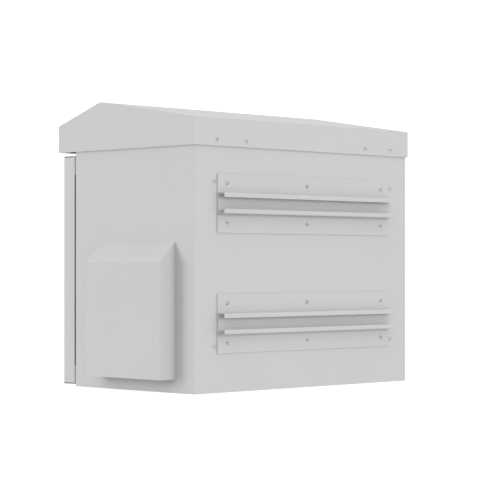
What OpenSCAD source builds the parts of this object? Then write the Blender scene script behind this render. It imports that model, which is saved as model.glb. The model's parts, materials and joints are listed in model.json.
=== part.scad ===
// Roadside utility cabinet: folded sheet body, pitched roof canopy, hinged pan door with a
// rack and pinion rod lock, a rain hood on each side and two mounting channels on the back.
// Millimetres, +Z up, the door faces -Y, the origin is the middle of the base.

/* [Body] */
// Width of the body across the door
body_w = 800; // [760:10:1000]
// Depth of the body without the door
body_d = 455; // [440:5:600]
// Height of the body walls, up to the top panel
body_h = 660; // [640:10:900]
// Thickness of the folded sheet
sheet = 2; // [1.5:0.25:2.5]
// Outer radius of the upright bends of the body
bend_r = 4; // [3.5:0.5:6]
// Width by which the door laps over the front frame
frame_lap = 41; // [40:1:60]

/* [Roof] */
// Height by which the roof laps down over the walls
roof_lap = 46; // [40:1:60]
// Height of the upright roof skirt
roof_skirt = 70; // [60:1:100]
// Rise of the ridge above the skirt
roof_rise = 55; // [30:1:90]
// Distance from the back wall to the ridge
ridge_back = 351; // [200:1:380]
// Overhang of the roof in front of the body
roof_front = 63.5; // [60:0.5:90]
// Clearance between the walls and the roof skirt
roof_gap = 2; // [1:0.5:5]
// Width of the stiffening hem under the front skirt
roof_hem = 10; // [6:1:12]
// Height of the roof screws above the roof's lower edge
roof_screw_z = 15.5; // [12:0.5:20]
// Distance of the outer roof screws from the side walls
roof_screw_side = 72; // [60:1:150]
// Distance of the inner roof screws from the middle
roof_screw_inner = 225; // [100:1:240]
// Distance of the roof saddles from the middle
saddle_x = 240; // [100:5:300]

/* [Mounting channels] */
// Height of the lower channel's centre above the base
rail_z = 172; // [130:1:200]
// Distance of the upper channel's centre below the roof's lower edge
rail_drop = 142; // [110:1:200]
// Distance from the side walls to the ends of the channels and their plates
rail_end = 77; // [60:1:120]
// Height of a backing plate
rail_plate_h = 148; // [130:1:170]
// Thickness of a backing plate
rail_plate_t = 3; // [2:0.5:5]
// Outer height of a channel
rail_h = 53; // [45:1:60]
// Reach of the channel's face from the back wall
rail_depth = 28; // [20:1:40]
// Wall thickness of a channel
rail_t = 2.5; // [2:0.25:3]
// Outer bend radius of a channel
rail_bend = 4; // [3.5:0.5:6]
// Height of the open slot along a channel
rail_slot = 29; // [20:1:34]
// Distance of the end screws from the ends of a plate
rail_screw_end = 33; // [20:1:80]
// Distance of the screw rows from the long edges of a plate
rail_screw_edge = 23; // [15:1:30]

/* [Equipment plate] */
// Height of the mounting plate's lower edge above the base
plate_foot = 99; // [80:1:140]
// Gap between the mounting plate and the level of the roof's lower edge
plate_head = 69; // [40:1:120]
// Thickness of the mounting plate
plate_t = 2.5; // [2:0.5:4]
// Gap between the plate bolts' heads and the ends of the channels
plate_bolt_gap = 1; // [0.5:0.5:10]
// Distance of the plate bolts from the side edges of the plate
plate_bolt_side = 14; // [11:1:25]
// Distance of the plate bolts from the upper and lower edges of the plate
plate_bolt_end = 17.75; // [11:0.25:40]
// Length of the spacers behind the plate
spacer_l = 30; // [20:1:50]

/* [Rain hoods] */
// Distance from the back wall to the hood
hood_back = 68; // [55:1:90]
// Width of a hood
hood_w = 282; // [270:1:300]
// Reach of a hood from the side wall
hood_d = 53; // [40:1:70]
// Height of the hood's open mouth above the base
hood_z = 34; // [20:1:50]
// Height of the hood's upright face
hood_face_h = 291; // [280:1:300]
// Height of the hood's sloping top
hood_slope_h = 51; // [40:1:70]
// Outer radius of the hood's upright bends
hood_bend = 5; // [4:0.5:8]
// Width of the flanges that hold a hood on the wall
hood_flange = 18; // [15:1:22]
// Distance of the hood screws from the ends of the flanges
hood_screw_end = 30; // [15:1:60]

/* [Air vents] */
// Gap between the square cut-out behind a hood and the hood's flanges
vent_clear = 21; // [18:1:40]
// Height of the vent's centre above the base
vent_z = 190; // [170:5:200]
// Width of the louvre panel's rim round the cut-out
louvre_rim = 16; // [14:1:20]
// Number of louvre slots
louvre_count = 9; // [5:1:10]
// Height of one louvre slot
louvre_slot = 11; // [8:1:14]
// Thickness of the filter mat
mat_t = 15; // [10:1:20]
// Side of the square fan housing
fan_side = 172; // [150:1:180]
// Depth of the fan housing
fan_d = 51; // [40:1:55]
// Number of fan blades
fan_blades = 7; // [5:1:9]

/* [Door] */
// Depth of the door pan
door_t = 45; // [40:1:60]
// Gap between the body and the door
door_gap = 2.5; // [2.5:0.1:3]
// Height of the door's lower edge above the base
door_z = 5; // [3:1:10]
// Gap between the door and the roof above it
door_top_gap = 9; // [6:1:15]
// Outer radius of the door's upright bends
door_bend = 3; // [3:0.5:4]
// Distance by which the door's inner flange stays outside the front opening
flange_in = 5; // [2:0.5:8]
// Gap at the folded corners of the door's returns
door_seam = 1.5; // [1:0.5:3]
// Gap between the hinge leaf and the gasket
gasket_gap = 2.9; // [1:0.1:5]
// Width of the gasket
gasket_w = 12; // [8:1:12]
// Clearance between the gasket and the frame
gasket_play = 0.3; // [0.2:0.1:0.5]

/* [Hinge] */
// Distance of the hinge's ends from the door's upper and lower edges
hinge_end = 50; // [20:1:100]
// Outer radius of the hinge knuckles
hinge_r = 2.1; // [2:0.05:2.2]
// Radius of the hinge pin
hinge_pin_r = 1.1; // [1:0.05:1.2]
// Clearance of the knuckles in their slot between door and body
hinge_clear = 0.15; // [0.1:0.05:0.4]
// Thickness of the hinge leaves
leaf_t = 1; // [0.8:0.05:1.1]
// Width of the hinge leaves
leaf_w = 17; // [15:0.5:17]
// Number of knuckles
knuckles = 20; // [10:2:30]

/* [Lock] */
// Clearance between the lock stiffener and the front opening
lock_clear = 1; // [0.5:0.5:20]
// Width of a door stiffener
hat_w = 60; // [54:1:80]
// Module of the lock gear
gear_m = 1.25; // [1.2:0.05:1.3]
// Number of pinion teeth
gear_n = 16; // [14:2:20]
// Backlash between pinion and rack
gear_play = 0.3; // [0.25:0.05:0.4]
// Width of a lock rod behind its teeth
rod_w = 10; // [8:1:12]
// Thickness of a lock rod
rod_t = 4; // [3:0.5:5]
// Gap between a lock rod's end and the frame edge when released
rod_gap = 5; // [4:0.5:8]
// Width across the square spindle
spindle_w = 8; // [7:0.5:9]
// Length of the handle lever
lever_l = 120; // [90:5:150]
// Width of the handle lever at its hub
lever_w = 30; // [26:1:34]
// Thickness of the handle lever
lever_t = 13; // [10:1:16]
// Rise of the lever's crowned front across its hub
lever_crown = 3; // [2:0.5:4]
// Finger clearance behind the lever
lever_gap = 31; // [28:1:40]

/* [Cable entry and earth] */
// Width of the gland plate's opening in the floor
gland_w = 340; // [300:10:380]
// Depth of the gland plate's opening in the floor
gland_d = 110; // [100:5:140]
// Rim of the gland plate on the floor
gland_rim = 20; // [18:1:26]
// Number of cable grommets
grommets = 4; // [2:1:4]
// Radius of a grommet hole
grommet_r = 20; // [14:1:24]
// Radius of the plinth bolt holes in the floor
anchor_r = 6.5; // [5:0.5:8]
// Distance of the plinth bolt holes from the outside of the body
anchor_in = 60; // [50:1:70]
// Length of the earth bar
earth_l = 260; // [200:10:320]
// Height of the earth bar above the base
earth_z = 60; // [50:1:64]

/* [Output] */
// Piece to build

/* [Hidden] */
$fn = 48;
PAINT = [0.8, 0.8, 0.79];
ZINC = [0.68, 0.7, 0.71];
STEEL = [0.5, 0.51, 0.52];
BLACK = [0.08, 0.08, 0.08];
FELT = [0.9, 0.9, 0.86];
BRASS = [0.78, 0.62, 0.3];

// Small overrun that lets a cut pass clean through a face
cut = 1;
// Clearance of a plain hole round its screw, and of a running fit
hole_play = 0.3;
run_play = 0.08;
// Sliding clearance of the lock rods
slide_play = 0.2;

// Main planes of the body and the door
y_front = -body_d / 2;
y_back = body_d / 2;
x_side = body_w / 2;
door_y1 = y_front - door_gap;
door_y0 = door_y1 - door_t;
door_z1 = body_h - roof_lap - door_top_gap;
door_h = door_z1 - door_z;
open_w = body_w - 2 * frame_lap;
open_z0 = door_z + frame_lap;
open_z1 = door_z1 - frame_lap;
door_flange = frame_lap - flange_in;
gasket_edge = hinge_r + leaf_w + gasket_gap;

// Roof planes; the underside follows the outer slopes at one sheet's thickness
roof_edge_z = body_h - roof_lap;
eave_z = roof_edge_z + roof_skirt;
roof_y0 = y_front - roof_front;
roof_y1 = y_back + roof_gap + sheet;
ridge_y = y_back - ridge_back;
roof_l = body_w + 2 * (roof_gap + sheet);
front_pitch = roof_rise / (ridge_y - roof_y0);
back_pitch = roof_rise / (roof_y1 - ridge_y);
front_drop = sheet * sqrt(1 + pow(front_pitch, 2));
back_drop = sheet * sqrt(1 + pow(back_pitch, 2));
ridge_in_y = (back_pitch * roof_y1 + front_pitch * roof_y0 + front_drop - back_drop)
    / (front_pitch + back_pitch);
function roof_under(y) = min(
    eave_z + front_pitch * (y - roof_y0) - front_drop,
    eave_z + back_pitch * (roof_y1 - y) - back_drop
);
saddle_y0 = y_front + 20;
saddle_y1 = y_back - 20;
saddle_t = 3;
saddle_foot = 24;
saddle_holes = 3;
saddle_hole_r = 9;
saddle_hole_z = body_h + 16;

// Screw radii: shank, head and head height; nuts, and the thread that stands out of them
screw_r = 3;
screw_head_r = 5.5;
screw_head_h = 3.3;
roof_head_r = 6.8;
small_r = 2.5;
small_head_r = 4.6;
small_head_h = 2.8;
bolt_r = 4;
bolt_head_r = 7;
bolt_head_h = 4.4;
nut_t = 5;
nut_r = 5.8;
thread_out = 2;
plate_nut_t = 6.5;
plate_nut_r = 7.5;
bolt_out = 3;

// Screw positions on the back wall, as [x, z]
roof_screw_outer = x_side - roof_screw_side;
roof_screw_x = [-roof_screw_outer, -roof_screw_inner, roof_screw_inner, roof_screw_outer];
roof_points = [for (x = roof_screw_x) [x, roof_edge_z + roof_screw_z]];
rail_l = body_w - 2 * rail_end;
rail_screw_x = rail_l / 2 - rail_screw_end;
rail_screw_z = rail_plate_h / 2 - rail_screw_edge;
upper_rail_z = roof_edge_z - rail_drop;
function rail_points(z) = [
    for (x = [-1, 0, 1], row = [-1, 1]) [x * rail_screw_x, z + row * rail_screw_z]
];
plate_bolt_x = rail_l / 2 + plate_bolt_gap + bolt_head_r;
plate_bolt_z = [plate_foot + plate_bolt_end, roof_edge_z - plate_head - plate_bolt_end];
plate_points = [for (side = [-1, 1], z = plate_bolt_z) [side * plate_bolt_x, z]];

// Mounting plate, held off the back wall; plate_y is its rear face
plate_w = 2 * (plate_bolt_x + plate_bolt_side);
plate_h = roof_edge_z - plate_head - plate_foot;
plate_z = plate_foot + plate_h / 2;
plate_y = y_back - sheet - spacer_l;
plate_corner = 6;
spacer_r = 8;

// Hood and vent places
hood_y1 = y_back - hood_back;
hood_y0 = hood_y1 - hood_w;
hood_y = (hood_y0 + hood_y1) / 2;
hood_face_z = hood_z + hood_face_h;
hood_top_z = hood_face_z + hood_slope_h;
hood_screw_y = hood_w / 2 - sheet - hood_flange / 2;
hood_screw_z = [hood_z + hood_screw_end, hood_face_z - hood_screw_end];
vent_y = hood_y;
vent_side = hood_w - 2 * (sheet + hood_flange + vent_clear);
louvre_t = 1.5;
louvre_corner = 4;
louvre_w = vent_side - 2 * 12;
louvre_side = vent_side + 2 * louvre_rim;
louvre_pitch = (vent_side - 2 * 10) / louvre_count;
louvre_angle = 35;
x_louvre = x_side - sheet - louvre_t;
frame_t = 4;
frame_wall = 10;
filter_grid = 4;
fan_wall = 6;
fan_corner = 8;
fan_bore_r = fan_side / 2 - fan_wall;
fan_hub_r = 32;
fan_tip_play = 3;
fan_motor_t = 12;
fan_recess = 6;
fan_rotor_l = fan_d - fan_motor_t - fan_recess;
fan_cap = 3;
fan_strut = 6;
fan_strut_turn = 20;
fan_blade_t = 2.4;
fan_shaft_r = 4;
fan_play = 0.6;
blade_arc_r = 46;
blade_chord = 46;
blade_half_angle = asin(blade_chord / 2 / blade_arc_r);
blade_pitch = 38;
fan_screw_at = fan_side / 2 - 10;
guard_wire_r = 1.4;
guard_rings = 5;
guard_eye_r = 6;
guard_bar_z = 2.4 * guard_wire_r;
guard_bar_half = fan_screw_at * sqrt(2) - guard_eye_r + 1;
guard_t = guard_bar_z + guard_wire_r;

// Hinge axis: in the middle of the slot between door and notch, flush with the side
hinge_l = door_h - 2 * hinge_end;
hinge_notch = 2 * (hinge_r + hinge_clear) - door_gap;
hinge_x = x_side - hinge_r;
hinge_y = (door_y1 + y_front + hinge_notch) / 2;
hinge_z0 = door_z + hinge_end;
knuckle_pitch = hinge_l / knuckles;
knuckle_play = 0.4;
leaf_edge = hinge_x - hinge_r - knuckle_play;

// Lock geometry
lock_x = hat_w / 2 + lock_clear - open_w / 2;
lock_z = (door_z + door_z1) / 2;
gear_r = gear_m * gear_n / 2;
gear_tip = gear_r + gear_m;
gear_root = gear_r - 1.25 * gear_m;
gear_angle = 20;
gear_base = gear_r * cos(gear_angle);
rack_tip = gear_r - 0.9 * gear_m;
rack_root = gear_r + 1.25 * gear_m;
rack_pitch = PI * gear_m;
lock_travel = gear_r * PI / 2;
case_floor = 5;
rod_y0 = y_front + sheet + 1;
rod_y1 = rod_y0 + rod_t;
crown_y = rod_y0 - slide_play - case_floor;
rod_out = rack_root + rod_w;
rod_mid = rack_root + rod_w / 2;
rod_tail = lock_travel + 3 * rack_pitch;
rod_top = open_z1 - rod_gap - lock_z;
rack_teeth = [-6:2];
case_wall = 3;
case_corner = 3;
case_w = 2 * (rod_out + slide_play + case_wall);
case_h = 64;
cover_t = 2.5;
cover_y1 = rod_y1 + slide_play + cover_t;
journal_r = min(7.5, gear_root - 0.6);
guide_h = 16;
guide_wall = 4;
guide_z = rod_top - 40;
hat_t = 1.5;
hat_flange = 14;
hat_end = 18;
hub_r = 17;
hub_play = 0.4;
hub_journal_r = 11;
hub_recess_r = 9;
hub_recess = 3;
insert_play = 0.2;
insert_back = 0.8;
insert_floor = 0.8;
insert_well_r = 6.5;
insert_pin_r = 4.6;
rose_r = 28;
rose_t = 6;
lever_y1 = door_y0 - lever_gap;
lever_y0 = lever_y1 - lever_t;
lever_crown_r = (pow(lever_w / 2, 2) + pow(lever_crown, 2)) / (2 * lever_crown);

// Floor fittings
gland_y = 60;
gland_t = 2;
gland_corner = 6;
gland_points = [
    for (x = [-1, 0, 1], y = [-1, 1]) [x * (gland_w + gland_rim) / 2, y * (gland_d + gland_rim) / 2]
];
grommet_pitch = gland_w / grommets;
grommet_x = [for (k = [0:grommets - 1]) (k - (grommets - 1) / 2) * grommet_pitch];
grommet_lip = 4;
grommet_lip_t = 2;
grommet_skin = 1.5;
grommet_step = 8;
grommet_wall = 3;
earth_w = 20;
earth_t = 5;
earth_post_l = 28;
earth_post_in = 14;
earth_screw_in = 40;
earth_screw_out = 6;
earth_screw_count = 7;
earth_pitch = (earth_l - 2 * earth_screw_in) / (earth_screw_count - 1);
earth_y = y_back - sheet - earth_post_l - earth_t;
earth_points = [
    for (k = [0:earth_screw_count - 1]) [(k - (earth_screw_count - 1) / 2) * earth_pitch, earth_z]
];

// A child outline in X and Y, raised from z0 to z1
module slab_xy(z0, z1) {
    translate([0, 0, z0]) linear_extrude(z1 - z0) children();
}

// A child outline in X and Z, spanning y0 to y1
module slab_xz(y0, y1) {
    translate([0, y1, 0]) rotate([90, 0, 0]) linear_extrude(y1 - y0) children();
}

// A child outline in Y and Z, spanning x0 to x1
module slab_yz(x0, x1) {
    translate([x0, 0, 0]) rotate([90, 0, 90]) linear_extrude(x1 - x0) children();
}

// Round bar along Y
module bar_y(r, y0, y1) {
    translate([0, y0, 0]) rotate([-90, 0, 0]) cylinder(r = r, h = y1 - y0);
}

// Round bar along X
module bar_x(r, x0, x1) {
    translate([x0, 0, 0]) rotate([0, 90, 0]) cylinder(r = r, h = x1 - x0);
}

// Rectangle about the origin with true round corners
module round_rect(w, d, r) {
    square([w - 2 * r, d], center = true);
    square([w, d - 2 * r], center = true);
    for (x = [-1, 1], y = [-1, 1]) {
        translate([x * (w / 2 - r), y * (d / 2 - r)]) circle(r);
    }
}

// Button head screw along Z: the head stands on z = 0 and the shank goes down
module button_screw(head_r, head_h, shank_r, shank_l) {
    dome_r = (pow(head_r, 2) + pow(head_h, 2)) / (2 * head_h);
    difference() {
        union() {
            intersection() {
                translate([0, 0, head_h - dome_r]) sphere(dome_r);
                cylinder(r = head_r, h = head_h);
            }
            translate([0, 0, -shank_l]) cylinder(r = shank_r, h = shank_l + head_h / 2);
        }
        translate([0, 0, head_h * 0.4]) cylinder(r = head_r * 0.42, h = head_h, $fn = 6);
    }
}

// Screws on the back wall at a list of [x, z] points, heads on the plane y
module back_screws(points, y, head_r, head_h, shank_r, shank_l) {
    for (p = points) {
        translate([p[0], y, p[1]]) rotate([-90, 0, 0])
            button_screw(head_r, head_h, shank_r, shank_l);
    }
}

// Hexagon nuts whose outer faces lie on the plane y, clear of the screw
module back_nuts(points, y, r, t, screw) {
    for (p = points) {
        translate([p[0], 0, p[1]]) difference() {
            translate([0, y, 0]) rotate([90, 0, 0]) cylinder(r = r, h = t, $fn = 6);
            bar_y(screw, y - t - cut, y + cut);
        }
    }
}

// Through holes in the back wall at a list of [x, z] points
module back_holes(points, r, y0, y1) {
    for (p = points) translate([p[0], 0, p[1]]) bar_y(r, y0, y1);
}

// Outline of the inside of the body in plan
module inside_plan() {
    round_rect(body_w - 2 * sheet, body_d - 2 * sheet, bend_r - sheet);
}

// Back and sides folded from one sheet, with the front frame returns
module body_wrap() color(PAINT) difference() {
    linear_extrude(body_h) difference() {
        round_rect(body_w, body_d, bend_r);
        inside_plan();
        translate([0, y_front]) square([open_w, 4 * sheet], center = true);
    }
    translate([leaf_edge - knuckle_play, y_front - cut, hinge_z0 - cut])
        cube([body_w, hinge_notch + cut, hinge_l + 2 * cut]);
    for (side = [-1, 1]) {
        translate([side * x_side, vent_y, vent_z])
            cube([6 * sheet, vent_side, vent_side], center = true);
        translate([side * x_side, hood_y, 0]) hood_holes();
    }
    back_holes(roof_points, screw_r + hole_play, y_back - 2 * sheet, y_back + cut);
    for (z = [rail_z, upper_rail_z]) {
        back_holes(rail_points(z), screw_r + hole_play, y_back - 2 * sheet, y_back + cut);
    }
    back_holes(plate_points, bolt_r + hole_play, y_back - 2 * sheet, y_back + cut);
}

// Closed top under the roof, folded down at the front as the door header
module top_panel() color(PAINT) {
    slab_xy(body_h - sheet, body_h) inside_plan();
    translate([-open_w / 2, y_front, open_z1]) cube([open_w, sheet, body_h - open_z1]);
}

// Floor, folded up at the front as the door sill, with the cable opening and plinth holes
module floor_panel() color(PAINT) {
    slab_xy(0, sheet) difference() {
        inside_plan();
        translate([0, gland_y]) square([gland_w, gland_d], center = true);
        translate([0, gland_y]) for (p = gland_points) translate(p) circle(small_r + hole_play);
        for (x = [-1, 1], y = [-1, 1]) {
            translate([x * (x_side - anchor_in), y * (y_back - anchor_in)]) circle(anchor_r);
        }
    }
    translate([-open_w / 2, y_front, 0]) cube([open_w, sheet, open_z0]);
}

// Pitched roof folded from one sheet, with gable ends, skirt and front hem
module roof_canopy() color(PAINT) {
    difference() {
        slab_yz(-roof_l / 2, roof_l / 2) polygon([
            [roof_y0, roof_edge_z], [roof_y0, eave_z], [ridge_y, eave_z + roof_rise],
            [roof_y1, eave_z], [roof_y1, roof_edge_z]
        ]);
        slab_yz(sheet - roof_l / 2, roof_l / 2 - sheet) polygon([
            [roof_y0 + sheet, roof_edge_z - cut], [roof_y0 + sheet, roof_under(roof_y0 + sheet)],
            [ridge_in_y, roof_under(ridge_in_y)],
            [roof_y1 - sheet, roof_under(roof_y1 - sheet)], [roof_y1 - sheet, roof_edge_z - cut]
        ]);
        back_holes(roof_points, screw_r + hole_play, roof_y1 - 2 * sheet, roof_y1 + cut);
    }
    translate([-roof_l / 2 + sheet, roof_y0, roof_edge_z])
        cube([roof_l - 2 * sheet, roof_hem, sheet]);
}

// Gable-shaped support between the top panel and the roof slopes, with a foot flange
module roof_saddle(side) color(ZINC) {
    hole_pitch = (saddle_y1 - saddle_y0) / (saddle_holes + 1);
    slab_yz(side * saddle_x - saddle_t / 2, side * saddle_x + saddle_t / 2) difference() {
        polygon([
            [saddle_y0, body_h], [saddle_y0, roof_under(saddle_y0)],
            [ridge_in_y, roof_under(ridge_in_y)],
            [saddle_y1, roof_under(saddle_y1)], [saddle_y1, body_h]
        ]);
        for (k = [1:saddle_holes]) {
            translate([saddle_y0 + k * hole_pitch, saddle_hole_z]) circle(saddle_hole_r);
        }
    }
    translate([side * saddle_x - saddle_foot / 2, saddle_y0, body_h])
        cube([saddle_foot, saddle_y1 - saddle_y0, saddle_t]);
}

module roof_saddle_left() roof_saddle(1);

module roof_saddle_right() roof_saddle(-1);

module roof_screws() color(ZINC)
    back_screws(roof_points, roof_y1, roof_head_r, screw_head_h, screw_r,
        roof_y1 - y_back + sheet + nut_t + thread_out);

module roof_nuts() color(ZINC)
    back_nuts(roof_points, y_back - sheet, nut_r, nut_t, screw_r);

// Open channel with inward lips, on the face of its backing plate
module channel(z) color(PAINT) {
    depth = rail_depth - rail_plate_t;
    translate([0, y_back + rail_plate_t + depth / 2, z]) slab_yz(-rail_l / 2, rail_l / 2)
        difference() {
            round_rect(depth, rail_h, rail_bend);
            round_rect(depth - 2 * rail_t, rail_h - 2 * rail_t, rail_bend - rail_t);
            translate([depth / 2, 0]) square([4 * rail_t, rail_slot], center = true);
        }
}

module upper_channel() channel(upper_rail_z);

module lower_channel() channel(rail_z);

// Flat plate that spreads a channel's load over the back wall
module backing_plate(z) color(PAINT) difference() {
    translate([-rail_l / 2, y_back, z - rail_plate_h / 2]) cube([rail_l, rail_plate_t, rail_plate_h]);
    back_holes(rail_points(z), screw_r + hole_play, y_back - cut, y_back + rail_plate_t + cut);
}

module upper_backing_plate() backing_plate(upper_rail_z);

module lower_backing_plate() backing_plate(rail_z);

// Screws of one backing plate
module channel_screws(z) color(ZINC)
    back_screws(rail_points(z), y_back + rail_plate_t, screw_head_r, screw_head_h, screw_r,
        rail_plate_t + sheet + nut_t + thread_out);

module upper_channel_screws() channel_screws(upper_rail_z);

module lower_channel_screws() channel_screws(rail_z);

module channel_nuts() color(ZINC) {
    for (z = [rail_z, upper_rail_z]) {
        back_nuts(rail_points(z), y_back - sheet, nut_r, nut_t, screw_r);
    }
}

// Flat equipment plate held off the back wall
module mounting_plate() color(ZINC) difference() {
    translate([0, 0, plate_z]) slab_xz(plate_y - plate_t, plate_y)
        round_rect(plate_w, plate_h, plate_corner);
    back_holes(plate_points, bolt_r + hole_play, plate_y - plate_t - cut, plate_y + cut);
}

module plate_bolts() color(PAINT)
    back_screws(plate_points, y_back, bolt_head_r, bolt_head_h, bolt_r,
        sheet + spacer_l + plate_t + plate_nut_t + bolt_out);

module plate_spacers() color(ZINC) {
    for (p = plate_points) {
        translate([p[0], 0, p[1]]) difference() {
            bar_y(spacer_r, plate_y, y_back - sheet);
            bar_y(bolt_r + hole_play, plate_y - cut, y_back);
        }
    }
}

module plate_nuts() color(ZINC)
    back_nuts(plate_points, plate_y - plate_t, plate_nut_r, plate_nut_t, bolt_r);

// Outside or inside form of a hood: its plan and its side profile, inset by one wall
module hood_form(inset, below, behind) {
    drop = inset * (sqrt(pow(hood_slope_h, 2) + pow(hood_d, 2)) / hood_d);
    intersection() {
        slab_xy(hood_z - below, hood_top_z + cut) translate([x_side, hood_y])
            round_rect(2 * (hood_d - inset), hood_w - 2 * inset, hood_bend - inset);
        slab_xz(hood_y0 - cut, hood_y1 + cut) polygon([
            [x_side - behind, hood_z - below], [x_side + hood_d, hood_z - below],
            [x_side + hood_d, hood_face_z - drop], [x_side, hood_top_z - drop],
            [x_side - behind, hood_top_z - drop]
        ]);
    }
}

// Folded rain hood, open below, with flanges on the side wall
module hood() color(PAINT) {
    difference() {
        hood_form(0, 0, 0);
        hood_form(sheet, cut, cut);
    }
    difference() {
        for (side = [-1, 1]) {
            translate([x_side + sheet / 2, hood_y + side * (hood_w - sheet - hood_flange) / 2, 0])
                translate([0, 0, hood_z + hood_face_h / 2])
                    cube([sheet, hood_flange + sheet, hood_face_h], center = true);
        }
        translate([x_side, hood_y, 0]) hood_holes();
    }
}

// Holes of one hood's screws, through the wall and the hood flanges
module hood_holes() {
    for (side = [-1, 1], z = hood_screw_z) {
        translate([0, side * hood_screw_y, z]) bar_x(small_r + hole_play, -3 * sheet, 3 * sheet);
    }
}

module intake_hood() hood();

module exhaust_hood() mirror([1, 0, 0]) hood();

// Hood screws, put in from inside the body
module hood_screws() color(ZINC) {
    for (side = [-1, 1], z = hood_screw_z) {
        translate([x_side - sheet, hood_y + side * hood_screw_y, z]) rotate([0, -90, 0])
            button_screw(small_head_r, small_head_h, small_r, 2 * sheet + 2 * thread_out);
    }
}

module intake_hood_screws() hood_screws();

module exhaust_hood_screws() mirror([1, 0, 0]) hood_screws();

// Pressed louvre panel inside the side wall, its blades sloping down and out
module louvre() color(ZINC) {
    rows = [for (k = [0:louvre_count - 1]) vent_z + (k - (louvre_count - 1) / 2) * louvre_pitch];
    difference() {
        translate([0, vent_y, vent_z]) slab_yz(x_louvre, x_side - sheet)
            round_rect(louvre_side, louvre_side, louvre_corner);
        for (z = rows) {
            translate([x_louvre, vent_y, z]) cube([4 * louvre_t, louvre_w, louvre_slot], center = true);
        }
    }
    for (z = rows) {
        translate([x_louvre, vent_y - louvre_w / 2, z + louvre_slot / 2]) rotate([0, louvre_angle, 0])
            cube([louvre_slot, louvre_w, louvre_t]);
    }
}

module intake_louvre() louvre();

module exhaust_louvre() mirror([1, 0, 0]) louvre();

// Fleece pad behind the intake louvre
module filter_mat() color(FELT)
    translate([0, vent_y, vent_z]) slab_yz(x_louvre - mat_t, x_louvre)
        square(louvre_side - 2 * frame_wall, center = true);

// Frame with a grid that holds the fleece against the louvre panel
module filter_frame() color(BLACK) translate([0, vent_y, vent_z]) {
    open = louvre_side - 2 * frame_wall;
    cell = (open - (filter_grid - 1) * frame_t) / filter_grid;
    slab_yz(x_louvre - mat_t, x_louvre) difference() {
        round_rect(louvre_side, louvre_side, louvre_corner);
        square(open, center = true);
    }
    slab_yz(x_louvre - mat_t - frame_t, x_louvre - mat_t) difference() {
        round_rect(louvre_side, louvre_side, louvre_corner);
        for (i = [0:filter_grid - 1], j = [0:filter_grid - 1]) {
            translate([-open / 2 + i * (cell + frame_t), -open / 2 + j * (cell + frame_t)]) square(cell);
        }
    }
}

// Places a fan piece: local Z runs inward from the exhaust louvre, on the fan's axis
module at_fan() {
    translate([-x_louvre, vent_y, vent_z]) rotate([0, 90, 0]) children();
}

// Square fan casing with its round duct, motor with shaft, and four struts
module fan_housing() color(BLACK) at_fan() {
    linear_extrude(fan_d) difference() {
        round_rect(fan_side, fan_side, fan_corner);
        circle(fan_bore_r);
        for (x = [-1, 1], y = [-1, 1]) {
            translate([x * fan_screw_at, y * fan_screw_at]) circle(small_r + hole_play);
        }
    }
    cylinder(r = fan_hub_r, h = fan_motor_t);
    cylinder(r = fan_shaft_r, h = fan_motor_t + fan_rotor_l - fan_cap - cut);
    for (k = [0:3]) {
        rotate([0, 0, k * 90 + fan_strut_turn]) translate([fan_hub_r - cut, -fan_strut / 2, 0])
            cube([fan_bore_r - fan_hub_r + 3 * cut, fan_strut, fan_strut]);
    }
}

// One cambered blade: an arc section carried out along X, pitched about X and trimmed round
module fan_blade() {
    sag = blade_arc_r * cos(blade_half_angle);
    intersection() {
        rotate([blade_pitch, 0, 0]) slab_yz(fan_hub_r - 3 * cut, fan_bore_r) translate([0, -sag])
            intersection() {
                difference() {
                    circle(blade_arc_r);
                    circle(blade_arc_r - fan_blade_t);
                }
                translate([-blade_chord / 2, 0]) square([blade_chord, blade_arc_r]);
            }
        translate([0, 0, -fan_rotor_l / 2]) cylinder(r = fan_bore_r - fan_tip_play, h = fan_rotor_l);
    }
}

// Rotor cup on the motor shaft, with its ring of blades
module fan_rotor() color(BLACK) at_fan() translate([0, 0, fan_motor_t + fan_play]) {
    difference() {
        cylinder(r = fan_hub_r, h = fan_rotor_l);
        translate([0, 0, -cut]) cylinder(r = fan_shaft_r + run_play, h = fan_rotor_l - fan_cap + cut);
    }
    for (k = [0:fan_blades - 1]) {
        translate([0, 0, fan_rotor_l / 2]) rotate([0, 0, k * 360 / fan_blades]) fan_blade();
    }
}

// Wire finger guard on the inner face of the fan: rings, crossed bars and four eyes
module fan_guard() color(STEEL) at_fan() translate([0, 0, fan_d]) {
    for (k = [1:guard_rings]) {
        translate([0, 0, guard_wire_r]) rotate_extrude()
            translate([fan_bore_r * k / guard_rings, 0]) circle(guard_wire_r);
    }
    for (k = [0:1]) {
        rotate([0, 0, 45 + 90 * k]) translate([0, 0, guard_bar_z])
            bar_x(guard_wire_r, -guard_bar_half, guard_bar_half);
    }
    for (x = [-1, 1], y = [-1, 1]) {
        translate([x * fan_screw_at, y * fan_screw_at, 0]) difference() {
            cylinder(r = guard_eye_r, h = guard_t);
            translate([0, 0, -cut]) cylinder(r = small_r + hole_play, h = guard_t + 2 * cut);
        }
    }
}

// Long screws through the corners of guard and fan
module fan_screws() color(ZINC) at_fan() {
    for (x = [-1, 1], y = [-1, 1]) {
        translate([x * fan_screw_at, y * fan_screw_at, fan_d + guard_t])
            button_screw(small_head_r, small_head_h, small_r, fan_d + guard_t);
    }
}

// Removable plate over the cable opening in the floor
module gland_plate() color(ZINC) translate([0, gland_y, 0])
    slab_xy(sheet, sheet + gland_t) difference() {
        round_rect(gland_w + 2 * gland_rim, gland_d + 2 * gland_rim, gland_corner);
        for (p = gland_points) translate(p) circle(small_r + hole_play);
        for (x = grommet_x) translate([x, 0]) circle(grommet_r);
    }

module gland_plate_screws() color(ZINC) translate([0, gland_y, sheet + gland_t]) {
    for (p = gland_points) {
        translate(p) button_screw(small_head_r, small_head_h, small_r, gland_t + sheet);
    }
}

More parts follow.
